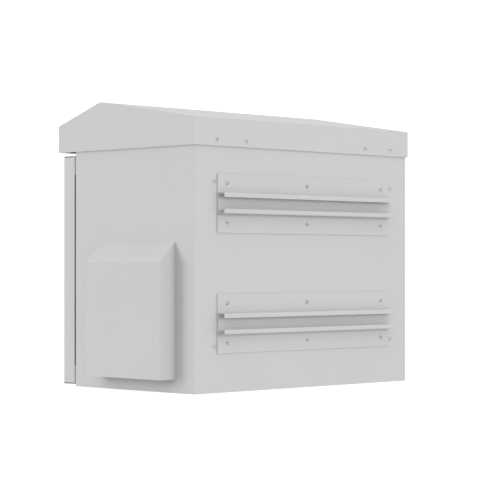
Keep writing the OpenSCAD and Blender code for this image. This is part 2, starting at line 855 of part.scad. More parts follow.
// Closed rubber grommets with a stepped cone to be cut for a cable
module cable_grommets() color(BLACK) {
    z0 = sheet;
    z1 = sheet + gland_t;
    z2 = z1 + grommet_lip_t;
    lip_r = grommet_r + grommet_lip;
    bore_r = grommet_r - 4 * grommet_wall;
    for (x = grommet_x) {
        translate([x, gland_y, 0]) rotate_extrude() polygon([
            [0, z0 - grommet_skin], [lip_r, z0 - grommet_skin], [lip_r, z0], [grommet_r, z0],
            [grommet_r, z1], [lip_r, z1], [lip_r, z2], [bore_r + 3 * grommet_wall, z2],
            [bore_r + 2 * grommet_wall, z2 + grommet_step],
            [bore_r + 1.5 * grommet_wall, z2 + grommet_step],
            [bore_r + grommet_wall, z2 + 2 * grommet_step],
            [bore_r, z2 + 2 * grommet_step], [bore_r, z2], [0, z2]
        ]);
    }
}

// Brass bar on two posts, low on the inside of the back wall
module earth_bar() color(BRASS) difference() {
    translate([-earth_l / 2, earth_y, earth_z - earth_w / 2]) cube([earth_l, earth_t, earth_w]);
    back_holes(earth_points, screw_r + hole_play, earth_y - cut, earth_y + earth_t + cut);
}

module earth_posts() color(ZINC) {
    for (side = [-1, 1]) {
        translate([side * (earth_l / 2 - earth_post_in), 0, earth_z])
            bar_y(spacer_r, earth_y + earth_t, y_back - sheet);
    }
}

module earth_screws() color(BRASS) {
    for (p = earth_points) {
        translate([p[0], earth_y, p[1]]) rotate([90, 0, 0])
            button_screw(screw_head_r, screw_head_h, screw_r, earth_t + earth_screw_out);
    }
}

// Knuckles of one hinge leaf: every second one, starting at first
module hinge_knuckles(first) {
    for (k = [first:2:knuckles - 1]) {
        translate([hinge_x, hinge_y, hinge_z0 + k * knuckle_pitch + knuckle_play / 2])
            cylinder(r = hinge_r, h = knuckle_pitch - knuckle_play);
    }
}

// Flat of one hinge leaf between planes y0 and y1, with tabs into its knuckles
module hinge_flat(first, y0) {
    translate([hinge_x - leaf_w, y0, hinge_z0]) cube([leaf_edge - hinge_x + leaf_w, leaf_t, hinge_l]);
    for (k = [first:2:knuckles - 1]) {
        translate([leaf_edge - cut, y0, hinge_z0 + k * knuckle_pitch + knuckle_play / 2])
            cube([hinge_x - leaf_edge + cut, leaf_t, knuckle_pitch - knuckle_play]);
    }
}

// One leaf with its knuckles, bored for the pin
module hinge_leaf(first, y0) color(STEEL) difference() {
    union() {
        hinge_flat(first, y0);
        hinge_knuckles(first);
    }
    translate([hinge_x, hinge_y, hinge_z0 - cut])
        cylinder(r = hinge_pin_r + run_play, h = hinge_l + 2 * cut);
}

module hinge_body_leaf() hinge_leaf(0, y_front - leaf_t);

module hinge_door_leaf() hinge_leaf(1, door_y1);

module hinge_pin() color(STEEL)
    translate([hinge_x, hinge_y, hinge_z0]) cylinder(r = hinge_pin_r, h = hinge_l);

// Door folded as a pan, with deep returns and an inner flange
module door_pan() color(PAINT) difference() {
    slab_xy(door_z, door_z1) translate([0, (door_y0 + door_y1) / 2])
        round_rect(body_w, door_t, door_bend);
    slab_xy(door_z + sheet, door_z1 - sheet) translate([0, (door_y0 + door_y1) / 2])
        round_rect(body_w - 2 * sheet, door_t - 2 * sheet, door_bend - sheet);
    translate([door_flange - x_side, door_y1 - 2 * sheet, door_z + door_flange])
        cube([body_w - 2 * door_flange, 3 * sheet, door_h - 2 * door_flange]);
    for (side = [-1, 1], z = [door_z + sheet, door_z1 - sheet - door_seam]) {
        translate([side * x_side - 2 * sheet, door_y0 + door_bend, z])
            cube([4 * sheet, door_t - 2 * door_bend, door_seam]);
    }
    translate([lock_x, 0, lock_z]) bar_y(hub_journal_r + 1, door_y0 - cut, door_y0 + 2 * sheet);
}

// Foam ring on the door's inner flange, pressed on the front frame
module door_gasket() color(BLACK)
    translate([0, 0, (door_z + door_z1) / 2]) slab_xz(door_y1, y_front - gasket_play) difference() {
        square([body_w - 2 * gasket_edge, door_h - 2 * gasket_edge], center = true);
        square([
            body_w - 2 * (gasket_edge + gasket_w),
            door_h - 2 * (gasket_edge + gasket_w)
        ], center = true);
    }

// Hat section on the inside of the door skin, from the skin to plane y1
module hat(x, y1) color(PAINT) {
    skin = door_y0 + sheet;
    slab_xy(open_z0 + hat_end, open_z1 - hat_end) translate([x, 0]) {
        for (side = [-1, 1]) {
            translate([side * (hat_w + hat_flange - hat_t) / 2 - hat_flange / 2, skin])
                square([hat_flange, hat_t]);
            translate([side * (hat_w - hat_t) / 2 - hat_t / 2, skin]) square([hat_t, y1 - skin]);
        }
        translate([-hat_w / 2, y1 - hat_t]) square([hat_w, hat_t]);
    }
}

// Hat section that carries the lock gear and the rod guides
module lock_stiffener() difference() {
    hat(lock_x, crown_y);
    translate([lock_x, 0, lock_z]) bar_y(journal_r + 1.5, crown_y - 3 * hat_t, crown_y + cut);
}

module hinge_stiffener() hat(-lock_x, door_y1 - sheet);

// Round rose on the door skin, the bearing of the handle hub
module handle_rose() color(BLACK) translate([lock_x, 0, lock_z]) difference() {
    bar_y(rose_r, door_y0 - rose_t, door_y0);
    bar_y(hub_journal_r + run_play, door_y0 - rose_t - cut, door_y0 + cut);
}

// Outline of the lever: round at hub and tip, tapering along X
module lever_outline() {
    tip_r = lever_w * 0.36;
    circle(lever_w / 2);
    translate([lever_l - tip_r, 0]) circle(tip_r);
    polygon([
        [0, -lever_w / 2], [lever_l - tip_r, -tip_r], [lever_l - tip_r, tip_r], [0, lever_w / 2]
    ]);
}

// L handle: hub, journal through the rose and door skin, and crowned lever
module handle_lever() color(BLACK) translate([lock_x, 0, lock_z]) difference() {
    union() {
        intersection() {
            slab_xz(lever_y0 - lever_crown, lever_y1) lever_outline();
            translate([0, lever_y0 + lever_crown_r, 0])
                bar_x(lever_crown_r, -lever_w, lever_l + lever_w);
        }
        bar_y(min(hub_r, lever_w / 2), lever_y1 - cut, door_y0 - rose_t - hub_play);
        bar_y(hub_journal_r, lever_y1, door_y0 + sheet + 3 * cut);
    }
    translate([0, lever_y1, 0]) slab_xz(0, lever_gap + 10 * sheet) square(spindle_w, center = true);
    bar_y(hub_recess_r, lever_y0 - cut, lever_y0 + hub_recess);
}

// Turned key insert in the hub's recess, with a triangular pin for the service key
module key_insert() color(ZINC) translate([lock_x, 0, lock_z]) {
    well_y1 = lever_y0 + hub_recess - insert_floor;
    difference() {
        bar_y(hub_recess_r - insert_play, lever_y0 + insert_back, lever_y0 + hub_recess);
        bar_y(insert_well_r, lever_y0, well_y1);
    }
    slab_xz(lever_y0 + insert_back, well_y1 + insert_floor / 2) circle(insert_pin_r, $fn = 3);
}

// Square spindle from the handle hub to the lock gear
module spindle() color(STEEL)
    translate([lock_x, 0, lock_z]) slab_xz(lever_y1, cover_y1) square(spindle_w, center = true);

// Half the angle of a pinion tooth at radius r
function involute(angle) = tan(angle) - angle * PI / 180;
function tooth_half(r) = (rack_pitch / 2 - gear_play / 2) / gear_r * 90 / PI
    + (involute(gear_angle) - involute(acos(min(1, gear_base / r)))) * 180 / PI;

// Pinion outline with involute flanks; a tooth space points along X on each side
module pinion_outline() {
    flank = [for (k = [0:4]) gear_base + (gear_tip - gear_base) * k / 4];
    radii = concat([gear_root], flank);
    half = [for (r = radii) tooth_half(max(r, gear_base))];
    last = len(radii) - 1;
    polygon([
        for (tooth = [0:gear_n - 1])
            let (middle = (tooth + 0.5) * 360 / gear_n)
                each concat(
                    [for (k = [0:last]) radii[k] * [cos(middle - half[k]), sin(middle - half[k])]],
                    [for (k = [last:-1:0]) radii[k] * [cos(middle + half[k]), sin(middle + half[k])]]
                )
    ]);
}

// Pinion keyed on the square spindle, with a journal on each side
module pinion() color(STEEL) translate([lock_x, 0, lock_z]) difference() {
    union() {
        slab_xz(rod_y0, rod_y1) pinion_outline();
        bar_y(journal_r, crown_y, cover_y1);
    }
    slab_xz(crown_y - cut, cover_y1 + cut) square(spindle_w, center = true);
}

// Open case on the stiffener that bears the pinion and guides the racks
module gear_case() color(ZINC) translate([lock_x, 0, lock_z]) difference() {
    union() {
        slab_xz(crown_y, rod_y0 - slide_play) square([case_w, case_h], center = true);
        for (side = [-1, 1]) {
            translate([side * (case_w - case_wall) / 2, 0, 0]) slab_xz(crown_y, rod_y1 + slide_play)
                square([case_wall, case_h], center = true);
        }
    }
    bar_y(journal_r + run_play, crown_y - cut, rod_y0 + cut);
}

// Flat cover that closes the gear case
module gear_cover() color(ZINC) translate([lock_x, 0, lock_z]) difference() {
    slab_xz(rod_y1 + slide_play, cover_y1) round_rect(case_w, case_h, case_corner);
    bar_y(journal_r + run_play, rod_y0, cover_y1 + cut);
}

// Flat rod with rack teeth on one edge; it stands on the -X side of the pinion
module lock_rod() color(ZINC) slab_xz(rod_y0, rod_y1) {
    translate([-rod_out, -rod_tail]) square([rod_w, rod_tail + rod_top]);
    for (k = rack_teeth) {
        translate([0, k * rack_pitch]) rack_tooth();
    }
}

// One straight-sided rack tooth pointing at the pinion
module rack_tooth() {
    half = (rack_pitch / 2 - gear_play / 2) / 2;
    tip = half - (gear_r - rack_tip) * tan(gear_angle);
    root = half + (rack_root - gear_r) * tan(gear_angle);
    polygon([[-rack_root, -root], [-rack_tip, -tip], [-rack_tip, tip], [-rack_root, root]]);
}

module upper_lock_rod() translate([lock_x, 0, lock_z]) lock_rod();

module lower_lock_rod() translate([lock_x, 0, lock_z]) rotate([0, 180, 0]) lock_rod();

// Closed guide on the stiffener round the outer end of a rod
module rod_guide() color(ZINC) translate([-rod_mid, 0, guide_z]) difference() {
    slab_xz(crown_y, cover_y1) square([rod_w + 2 * (guide_wall + slide_play), guide_h], center = true);
    slab_xz(rod_y0 - slide_play, rod_y1 + slide_play)
        square([rod_w + 2 * slide_play, guide_h + 2 * cut], center = true);
}

module upper_rod_guide() translate([lock_x, 0, lock_z]) rod_guide();

module lower_rod_guide() translate([lock_x, 0, lock_z]) rotate([0, 180, 0]) rod_guide();

body_wrap();
top_panel();
floor_panel();
roof_canopy();
roof_saddle_left();
roof_saddle_right();
roof_screws();
roof_nuts();
upper_channel();
lower_channel();
upper_backing_plate();
lower_backing_plate();
upper_channel_screws();
lower_channel_screws();
channel_nuts();
mounting_plate();
plate_bolts();
plate_spacers();
plate_nuts();
intake_hood();
exhaust_hood();
intake_hood_screws();
exhaust_hood_screws();
intake_louvre();
exhaust_louvre();
filter_mat();
filter_frame();
fan_housing();
fan_rotor();
fan_guard();
fan_screws();
gland_plate();
gland_plate_screws();
cable_grommets();
earth_bar();
earth_posts();
earth_screws();
hinge_body_leaf();
hinge_door_leaf();
hinge_pin();
door_pan();
door_gasket();
lock_stiffener();
hinge_stiffener();
handle_rose();
handle_lever();
key_insert();
spindle();
pinion();
gear_case();
gear_cover();
upper_lock_rod();
lower_lock_rod();
upper_rod_guide();
lower_rod_guide();
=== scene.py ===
import json
import math

import bmesh
import bpy
import numpy as np
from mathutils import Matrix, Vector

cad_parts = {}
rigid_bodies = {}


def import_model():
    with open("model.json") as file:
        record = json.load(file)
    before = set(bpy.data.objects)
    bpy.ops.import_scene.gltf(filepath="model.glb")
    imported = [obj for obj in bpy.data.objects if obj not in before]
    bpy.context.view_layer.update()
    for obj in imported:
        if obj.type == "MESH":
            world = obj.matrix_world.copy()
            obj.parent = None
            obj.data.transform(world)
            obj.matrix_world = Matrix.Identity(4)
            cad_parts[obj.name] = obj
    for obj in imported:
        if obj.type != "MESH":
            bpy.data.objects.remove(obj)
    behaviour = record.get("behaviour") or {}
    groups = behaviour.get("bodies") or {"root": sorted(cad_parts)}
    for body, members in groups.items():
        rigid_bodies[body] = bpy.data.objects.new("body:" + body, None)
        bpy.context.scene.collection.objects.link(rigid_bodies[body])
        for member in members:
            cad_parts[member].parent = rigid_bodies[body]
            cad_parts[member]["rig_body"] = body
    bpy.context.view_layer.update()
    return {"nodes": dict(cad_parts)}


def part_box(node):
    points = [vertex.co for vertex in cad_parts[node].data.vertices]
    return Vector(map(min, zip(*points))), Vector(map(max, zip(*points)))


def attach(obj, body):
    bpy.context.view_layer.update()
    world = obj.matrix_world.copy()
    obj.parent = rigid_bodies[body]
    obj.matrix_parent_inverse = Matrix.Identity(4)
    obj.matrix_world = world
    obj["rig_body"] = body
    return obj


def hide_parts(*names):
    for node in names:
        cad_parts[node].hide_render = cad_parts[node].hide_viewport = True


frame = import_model()

# Studio: a plain white floor under a soft white dome, with three wide softboxes round the object,
# as in a catalogue picture. The camera stands level, off the corner of the back and one side.
def linear(code):
    """An sRGB hex colour as linear RGBA: a channel c becomes c / 12.92 up to 0.04045, and
    ((c + 0.055) / 1.055) to the power 2.4 above that."""
    c = np.array([int(code[k:k + 2], 16) for k in (1, 3, 5)]) / 255
    return (*np.where(c <= 0.04045, c / 12.92, ((c + 0.055) / 1.055) ** 2.4), 1.0)


def add_node(tree, kind, inputs=None, **settings):
    """Adds one node, sets its own settings, and gives each named input a value or a link."""
    made = tree.nodes.new(kind)
    for name, value in settings.items():
        setattr(made, name, value)
    for name, value in (inputs or {}).items():
        if isinstance(value, bpy.types.NodeSocket):
            tree.links.new(value, made.inputs[name])
        else:
            made.inputs[name].default_value = value
    return made


def new_finish(name):
    """A new material, its node tree and its shader."""
    finish = bpy.data.materials.new(name)
    finish.use_nodes = True
    return finish, finish.node_tree, finish.node_tree.nodes["Principled BSDF"]


def add_piece(name, sheets, material, smooth=35):
    """One mesh from grids of points in millimetres. Each sheet is (points[row, column, xyz], rows
    closed, columns closed); a quad joins neighbours, and points that meet at a pole or seam merge.
    Edges that turn by more than the smooth angle, in degrees, stay sharp."""
    weld = 1e-6
    points, quads, start = [], [], 0
    for grid, close_rows, close_columns in sheets:
        index = np.arange(grid.shape[0] * grid.shape[1]).reshape(grid.shape[:2]) + start
        start += index.size
        if close_rows:
            index = np.concatenate([index, index[:1]], 0)
        if close_columns:
            index = np.concatenate([index, index[:, :1]], 1)
        corners = [index[:-1, :-1], index[:-1, 1:], index[1:, 1:], index[1:, :-1]]
        quads.append(np.stack(corners, -1).reshape(-1, 4))
        points.append(grid.reshape(-1, 3))
    mesh = bpy.data.meshes.new(name)
    mesh.from_pydata((np.concatenate(points) / 1000).tolist(), [], np.concatenate(quads).tolist())
    shape = bmesh.new()
    shape.from_mesh(mesh)
    bmesh.ops.remove_doubles(shape, verts=shape.verts, dist=weld)
    bmesh.ops.recalc_face_normals(shape, faces=shape.faces)
    shape.to_mesh(mesh)
    shape.free()
    mesh.shade_smooth()
    mesh.set_sharp_from_angle(angle=math.radians(smooth))
    mesh.materials.append(material)
    piece = bpy.data.objects.new(name, mesh)
    bpy.context.scene.collection.objects.link(piece)
    return piece


# White floor paint: matt, with a glow of its own, so that it runs into the background without an
# edge. It doesn't light the object from below.
floor_reach, floor_drop = 60000, 0.2
floor_paint, _, floor_shader = new_finish("white_studio_floor")
floor_shader.inputs["Base Color"].default_value = linear("#8a8a8a")
floor_shader.inputs["Roughness"].default_value = 0.9
floor_shader.inputs["Emission Color"].default_value = linear("#ffffff")
floor_shader.inputs["Emission Strength"].default_value = 0.90
floor_line = np.linspace(-floor_reach, floor_reach, 3)
floor_grid = np.stack(np.meshgrid(floor_line, floor_line, [-floor_drop], indexing="ij"), -1)[:, :, 0]
floor = add_piece("studio_floor", [(floor_grid, False, False)], floor_paint)
floor.visible_diffuse = False

# Strength of the dome below the horizon, at it and overhead, and as the camera sees it
ground_light, horizon_light, zenith_light, backdrop_light = 0.80, 0.72, 1.30, 1.4
dome = bpy.data.worlds.new("soft_dome")
bpy.context.scene.world = dome
dome.use_nodes = True
sky = dome.node_tree
height = add_node(sky, "ShaderNodeSeparateXYZ", {
    "Vector": add_node(sky, "ShaderNodeTexCoord").outputs["Generated"]})
climb = add_node(sky, "ShaderNodeMapRange", {
    "Value": height.outputs["Z"], "From Min": 0.0, "From Max": 1.0,
    "To Min": horizon_light, "To Max": zenith_light})
horizon = add_node(sky, "ShaderNodeMapRange", {
    "Value": height.outputs["Z"], "From Min": -0.12, "From Max": 0.04})
shade = add_node(sky, "ShaderNodeMix", {
    "Factor": horizon.outputs["Result"], "A": ground_light, "B": climb.outputs["Result"]},
    data_type="FLOAT")
seen = add_node(sky, "ShaderNodeMix", {
    "Factor": add_node(sky, "ShaderNodeLightPath").outputs["Is Camera Ray"],
    "A": shade.outputs["Result"], "B": backdrop_light}, data_type="FLOAT")
sky.nodes["Background"].inputs["Color"].default_value = linear("#ffffff")
sky.links.new(seen.outputs["Result"], sky.nodes["Background"].inputs["Strength"])

# Softboxes, in metres: each stands at a bearing round the object and leans down towards it
softbox_side, softbox_far, softbox_tall = 4.0, 11.1, 2.0
softbox_tilt = math.radians(82)
for bearing, watts in ((-32, 440), (92, 435), (200, 410)):
    softbox = bpy.data.lights.new("softbox", "AREA")
    softbox.shape = "RECTANGLE"
    softbox.size = softbox_side
    softbox.size_y = softbox_side
    softbox.energy = watts
    softbox_lamp = bpy.data.objects.new("softbox", softbox)
    softbox_turn = math.radians(bearing)
    softbox_lamp.location = (softbox_far * math.cos(softbox_turn),
                             softbox_far * math.sin(softbox_turn), softbox_tall)
    softbox_lamp.rotation_euler = (softbox_tilt, 0, softbox_turn + math.pi / 2)
    softbox_lamp.visible_glossy = False
    bpy.context.scene.collection.objects.link(softbox_lamp)

lens = bpy.data.cameras.new("camera")
lens.sensor_width = 36
lens.lens = 136.5
lens.shift_y = 0.0296
camera = bpy.data.objects.new("camera", lens)
camera.location = (3.593, 3.614, 0.3186)
camera.rotation_euler = (math.radians(90), 0, math.radians(135))
bpy.context.scene.collection.objects.link(camera)
bpy.context.scene.camera = camera
bpy.context.scene.view_settings.view_transform = "Standard"

# Body: back and both sides folded from one 2 mm steel sheet, with a top panel and a floor panel
# spot-welded in. Powder coated light grey all over, after folding.
# Polyester powder coat: satin, with a fine orange peel that breaks the gloss. The film's thickness
# wanders over about 180 mm. The peel is 0.8 mm across, and drawn at 2.2 mm, so that it shows.
cloud_size, peel_size = 180, 2.2
colour_a, colour_b, colour_out = 6, 7, 2  # a Mix node's colour sockets share their names with others
powder_coat, coat, coat_shader = new_finish("light_grey_powder_coat")
coat_at = add_node(coat, "ShaderNodeTexCoord").outputs["Object"]
coat_cloud = add_node(coat, "ShaderNodeTexNoise", {
    "Vector": coat_at, "Scale": 1000 / cloud_size, "Detail": 3.0, "Roughness": 0.55})
coat_peel = add_node(coat, "ShaderNodeTexNoise", {
    "Vector": coat_at, "Scale": 1000 / peel_size, "Detail": 2.0, "Roughness": 0.5})
coat_tone = add_node(coat, "ShaderNodeMix", {
    "Factor": coat_cloud.outputs["Fac"],
    colour_a: linear("#b8b8b8"), colour_b: linear("#bdbdbc")}, data_type="RGBA")
coat_gloss = add_node(coat, "ShaderNodeMapRange", {
    "Value": coat_peel.outputs["Fac"], "To Min": 0.44, "To Max": 0.56})
coat_bump = add_node(coat, "ShaderNodeBump", {
    "Height": coat_peel.outputs["Fac"], "Strength": 0.10, "Distance": 0.0006})
coat_shader.inputs["Specular IOR Level"].default_value = 0.3
coat.links.new(coat_tone.outputs[colour_out], coat_shader.inputs["Base Color"])
coat.links.new(coat_gloss.outputs["Result"], coat_shader.inputs["Roughness"])
coat.links.new(coat_bump.outputs["Normal"], coat_shader.inputs["Normal"])


def eased(node, material, edge):
    """The CAD node's own faces with a narrow round, edge millimetres wide, on each corner: loose
    triangles are merged, flat fans become single faces, and a Bevel rounds what turns enough."""
    weld, flat, corner = 2e-6, math.radians(0.4), math.radians(30)
    source = frame["nodes"][node]
    mesh = source.data.copy()
    shape = bmesh.new()
    shape.from_mesh(mesh)
    bmesh.ops.remove_doubles(shape, verts=shape.verts, dist=weld)
    bmesh.ops.dissolve_limit(shape, angle_limit=flat, verts=shape.verts, edges=shape.edges)
    shape.to_mesh(mesh)
    shape.free()
    mesh.shade_smooth()
    mesh.set_sharp_from_angle(angle=corner)
    mesh.materials.clear()
    mesh.materials.append(material)
    piece = bpy.data.objects.new(node + "_eased", mesh)
    bpy.context.scene.collection.objects.link(piece)
    bevel = piece.modifiers.new("eased_edges", "BEVEL")
    bevel.width = edge / 1000
    bevel.segments = 2
    bevel.limit_method = "ANGLE"
    bevel.angle_limit = corner
    bevel.harden_normals = True
    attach(piece, source["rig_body"])
    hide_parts(node)


for panel in ("body_wrap", "top_panel", "floor_panel"):
    eased(panel, powder_coat, edge=0.4)

# Roof: one folded sheet with an uneven pitch, welded gable ends and a skirt that laps the walls.
# It rests on two gable-shaped saddles of hot-dip galvanised sheet on the top panel.
eased("roof_canopy", powder_coat, edge=0.9)

# Galvanised steel: zinc crystals, spangles about 9 mm across, each with its own tone and gloss.
spangle_size = 9
galvanised, zinc, zinc_shader = new_finish("galvanised_steel")
spangle = add_node(zinc, "ShaderNodeTexVoronoi", {
    "Vector": add_node(zinc, "ShaderNodeTexCoord").outputs["Object"], "Scale": 1000 / spangle_size})
spangle_draw = add_node(zinc, "ShaderNodeSeparateColor", {"Color": spangle.outputs["Color"]})
zinc_tone = add_node(zinc, "ShaderNodeMix", {
    "Factor": spangle_draw.outputs["Red"],
    colour_a: linear("#b4b8ba"), colour_b: linear("#cfd2d3")}, data_type="RGBA")
zinc_gloss = add_node(zinc, "ShaderNodeMapRange", {
    "Value": spangle_draw.outputs["Green"], "To Min": 0.34, "To Max": 0.52})
zinc_bump = add_node(zinc, "ShaderNodeBump", {
    "Height": spangle_draw.outputs["Blue"], "Strength": 0.08, "Distance": 0.0002})
zinc_shader.inputs["Metallic"].default_value = 0.9
zinc.links.new(zinc_tone.outputs[colour_out], zinc_shader.inputs["Base Color"])
zinc.links.new(zinc_gloss.outputs["Result"], zinc_shader.inputs["Roughness"])
zinc.links.new(zinc_bump.outputs["Normal"], zinc_shader.inputs["Normal"])
for saddle in ("roof_saddle_left", "roof_saddle_right"):
    eased(saddle, galvanised, edge=0.3)

# Roof fixings: four button-head screws through the rear skirt and the back wall, with hexagon
# nuts inside. Bright zinc-plated steel, cold headed, with pressed hexagon sockets.
def mottled(name, across, dark, light, gloss=None, bump=None, detail=3.0, fuzz=0.5):
    """A finish whose tone, gloss and height follow one noise, with its shader. Its patches are so
    many millimetres across; gloss is the roughness of a dark and of a light patch, bump is the
    strength and the height in millimetres, and fuzz is how much the noise's fine detail counts."""
    finish, tree, shader = new_finish(name)
    noise = add_node(tree, "ShaderNodeTexNoise", {
        "Vector": add_node(tree, "ShaderNodeTexCoord").outputs["Object"],
        "Scale": 1000 / across, "Detail": detail, "Roughness": fuzz}).outputs["Fac"]
    tone = add_node(tree, "ShaderNodeMix", {
        "Factor": noise, colour_a: linear(dark), colour_b: linear(light)}, data_type="RGBA")
    tree.links.new(tone.outputs[colour_out], shader.inputs["Base Color"])
    if gloss:
        spread = add_node(tree, "ShaderNodeMapRange", {
            "Value": noise, "To Min": gloss[0], "To Max": gloss[1]})
        tree.links.new(spread.outputs["Result"], shader.inputs["Roughness"])
    if bump:
        relief = add_node(tree, "ShaderNodeBump", {
            "Height": noise, "Strength": bump[0], "Distance": bump[1] / 1000})
        tree.links.new(relief.outputs["Normal"], shader.inputs["Normal"])
    return finish, shader


# Bright zinc plating: cool silver, clouded by patches 1.5 mm across, with soft reflections.
bright_zinc, plated_shader = mottled(
    "bright_zinc_plating", 1.5, "#b7b8ba", "#c6c7c8", gloss=(0.32, 0.44), detail=2.0)
plated_shader.inputs["Metallic"].default_value = 1.0


def box_mm(node):
    """Lowest and highest corner of a CAD node in millimetres, to the nearest micrometre."""
    return np.round(np.array(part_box(node)) * 1000, 3)


def many_sided(flat, sides, steps):
    """Radius of a regular polygon at evenly spaced angles: the radius to a flat over the cosine of
    the angle from that flat's middle."""
    turn = np.linspace(0, 2 * np.pi, steps, endpoint=False)
    part = 2 * np.pi / sides
    return flat / np.cos(turn % part - part / 2)


def turned(radius, level):
    """A shape turned about +Z as points[profile, angle, xyz], from the radius of each profile row
    at each angle and the level of each row."""
    turn = np.linspace(0, 2 * np.pi, radius.shape[1], endpoint=False)
    return np.stack([radius * np.cos(turn), radius * np.sin(turn),
                     np.outer(level, np.ones_like(turn))], -1)


def button_screw(head_r, head_h, shank_r, shank_l):
    """A screw along +Z with its head on z = 0. The rows climb the chamfered shank, cross under the
    head and follow the dome, an arc through the rim, to the hexagon socket, which has a little
    draft."""
    steps, dome_rows = 48, 9
    chamfer, rim_round, lip_round = 0.5, 0.15, 0.1
    dome_outer, dome_inner = 0.99 * head_r, 0.46 * head_r
    socket_corner, socket_floor, socket_draft = 0.42 * head_r, 0.4 * head_h, 0.97
    dome_r = (head_r ** 2 + head_h ** 2) / (2 * head_h)
    ring = np.linspace(dome_outer, dome_inner, dome_rows)
    arc = np.sqrt(dome_r ** 2 - ring ** 2) - dome_r + head_h
    lip = math.sqrt(dome_r ** 2 - socket_corner ** 2) - dome_r + head_h - lip_round
    stem = [0.0, shank_r - chamfer, shank_r, shank_r, head_r - rim_round]
    stem_level = [-shank_l, -shank_l, chamfer - shank_l, 0.0, 0.0]
    socket = many_sided(socket_corner * math.cos(math.pi / 6), sides=6, steps=steps)[None]
    radius = np.concatenate([np.outer(np.concatenate([stem, ring]), np.ones(steps)),
                             socket, socket * socket_draft, 0 * socket])
    return turned(radius, np.concatenate([stem_level, arc, [lip, socket_floor, socket_floor]]))


def hexagon_nut(flat, thick, bore):
    """A nut along +Z, closed both ways: the outside is a hexagon whose corners are cut by a 30
    degree chamfer cone, and the bore has a small countersink."""
    steps, sink, chamfer_slope = 72, 0.4, 0.58
    outside = many_sided(flat, sides=6, steps=steps)
    depth = np.linspace(0, 1, 5) * (outside.max() - flat) * chamfer_slope
    face = np.minimum(outside, flat + depth[:, None] / chamfer_slope)
    inner = np.full((1, steps), bore)
    radius = np.concatenate([inner, inner + sink, face, face[::-1], inner + sink, inner])
    up = np.concatenate([[sink, 0.0], depth])
    return turned(radius, np.concatenate([up, thick - up[::-1]]))


def fit_set(node, points, axis, places, closed, material):
    """One piece for a set of like screws or nuts, standing for the CAD node of that name: copies
    of a turned shape at each place in millimetres, with its +Z laid along the axis."""
    along = np.array(axis, float)
    side = np.array([0.0, 0.0, 1.0]) if abs(along[2]) < 0.5 else np.array([1.0, 0.0, 0.0])
    laid = points @ np.array([side, np.cross(along, side), along])
    sheets = [(laid + np.array(place, float), closed, True) for place in places]
    piece = add_piece(node + "_set", sheets, material)
    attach(piece, "cabinet")
    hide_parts(node)


def fit_screws(node, head, axis, places, material):
    """Screws with a head (radius, height, shank radius) at each place; their shanks end where the
    CAD node's do."""
    tip = (box_mm(node) @ np.array(axis)).min()
    shank_l = np.dot(places[0], axis) - tip
    fit_set(node, button_screw(*head, shank_l), axis, places, False, material)


def fit_nuts(node, nut, screws):
    """Nuts (radius to a flat, bore) on the shanks of screws in the back; the plane that they stand
    on and their thickness are the CAD node's."""
    inner, seat = box_mm(node)[:, 1]
    flat, bore = nut
    fit_set(node, hexagon_nut(flat, seat - inner, bore), (0, -1, 0),
            [(x, seat, z) for x, _, z in screws], True, bright_zinc)


roof_head, m6_nut = (6.8, 3.3, 3.0), (5.02, 3.0)
roof_screw_x = (-328, -225, 225, 328)
skirt_back = box_mm("roof_canopy")[1][1]
roof_screw_z = box_mm("roof_screws").mean(0)[2]
roof_places = [(x, skirt_back, roof_screw_z) for x in roof_screw_x]
fit_screws("roof_screws", roof_head, (0, 1, 0), roof_places, bright_zinc)
fit_nuts("roof_nuts", m6_nut, roof_places)

# Mounting channels: two cold-rolled C sections with inward lips, each welded on a flat backing
# plate and powder coated with it. Six screws hold each plate, with nuts inside the back wall.
for rail in ("upper_channel", "lower_channel", "upper_backing_plate", "lower_backing_plate"):
    eased(rail, powder_coat, edge=0.4)
m6_head = (5.5, 3.3, 3.0)
rail_screw_x, rail_screw_row = 290, 51


def rail_places(plate):
    """Places of a backing plate's six screws, on its rear face and about its middle."""
    middle, back = box_mm(plate).mean(0), box_mm(plate)[1][1]
    return [(x, back, middle[2] + row) for x in (-rail_screw_x, 0, rail_screw_x)
            for row in (-rail_screw_row, rail_screw_row)]


upper_places, lower_places = rail_places("upper_backing_plate"), rail_places("lower_backing_plate")
fit_screws("upper_channel_screws", m6_head, (0, 1, 0), upper_places, bright_zinc)
fit_screws("lower_channel_screws", m6_head, (0, 1, 0), lower_places, bright_zinc)
fit_nuts("channel_nuts", m6_nut, lower_places + upper_places)

# Equipment plate: flat galvanised sheet held off the back wall by four turned spacers on bolts,
# whose painted heads show on the back beyond the ends of the channels.
eased("mounting_plate", galvanised, edge=0.4)
m8_head, m8_nut = (7.0, 4.4, 4.0), (6.5, 4.0)
bolt_in_x, bolt_in_z = 14, 17.75
plate_low, plate_high = box_mm("mounting_plate")
back_face = box_mm("body_wrap")[1][1]
bolt_places = [(x, back_face, z) for x in (plate_low[0] + bolt_in_x, plate_high[0] - bolt_in_x)
               for z in (plate_low[2] + bolt_in_z, plate_high[2] - bolt_in_z)]
fit_screws("plate_bolts", m8_head, (0, 1, 0), bolt_places, powder_coat)
fit_nuts("plate_nuts", m8_nut, bolt_places)
eased("plate_spacers", bright_zinc, edge=0.3)

